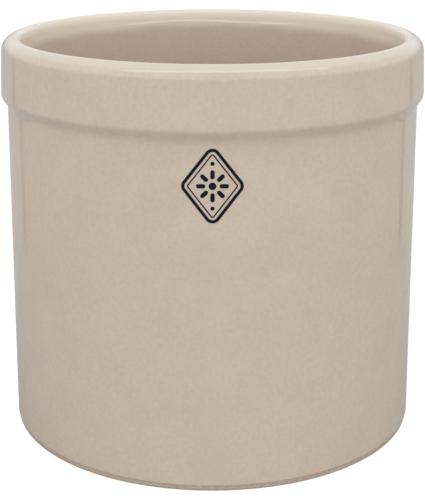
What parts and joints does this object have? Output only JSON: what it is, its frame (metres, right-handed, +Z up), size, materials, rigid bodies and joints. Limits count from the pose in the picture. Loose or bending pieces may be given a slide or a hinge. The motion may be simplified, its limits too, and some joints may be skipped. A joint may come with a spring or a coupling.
{
  "type": "ceramic fermenting crock",
  "caption": "Open straight-sided glazed stoneware crock with a thick rounded collar, a flat foot and a plain ornament stamped on the front, for fermenting and keeping food in brine.",
  "frame": {"origin": "centre of the foot's standing ring, on the table", "axes": "+Z up along the crock's axis, the stamp faces -Y"},
  "size_m": [0.1895, 0.1896, 0.1772],
  "materials": {
    "bare_clay": "unglazed fired stoneware, matt and slightly sandy",
    "outside_glaze": "satin to glossy pale oatmeal glaze with faint mottling and small iron specks",
    "inside_glaze": "satin to glossy pale oatmeal glaze",
    "stamp_ink": "fired dark blue underglaze ink, satin"
  },
  "bodies": {
    "root": {"stoneware_body": "bare_clay", "outside_glaze": "outside_glaze", "inside_glaze": "inside_glaze", "stamp_frame": "stamp_ink", "stamp_inner_line": "stamp_ink", "stamp_petals": "stamp_ink", "stamp_dots": "stamp_ink"}
  },
  "joints": []
}
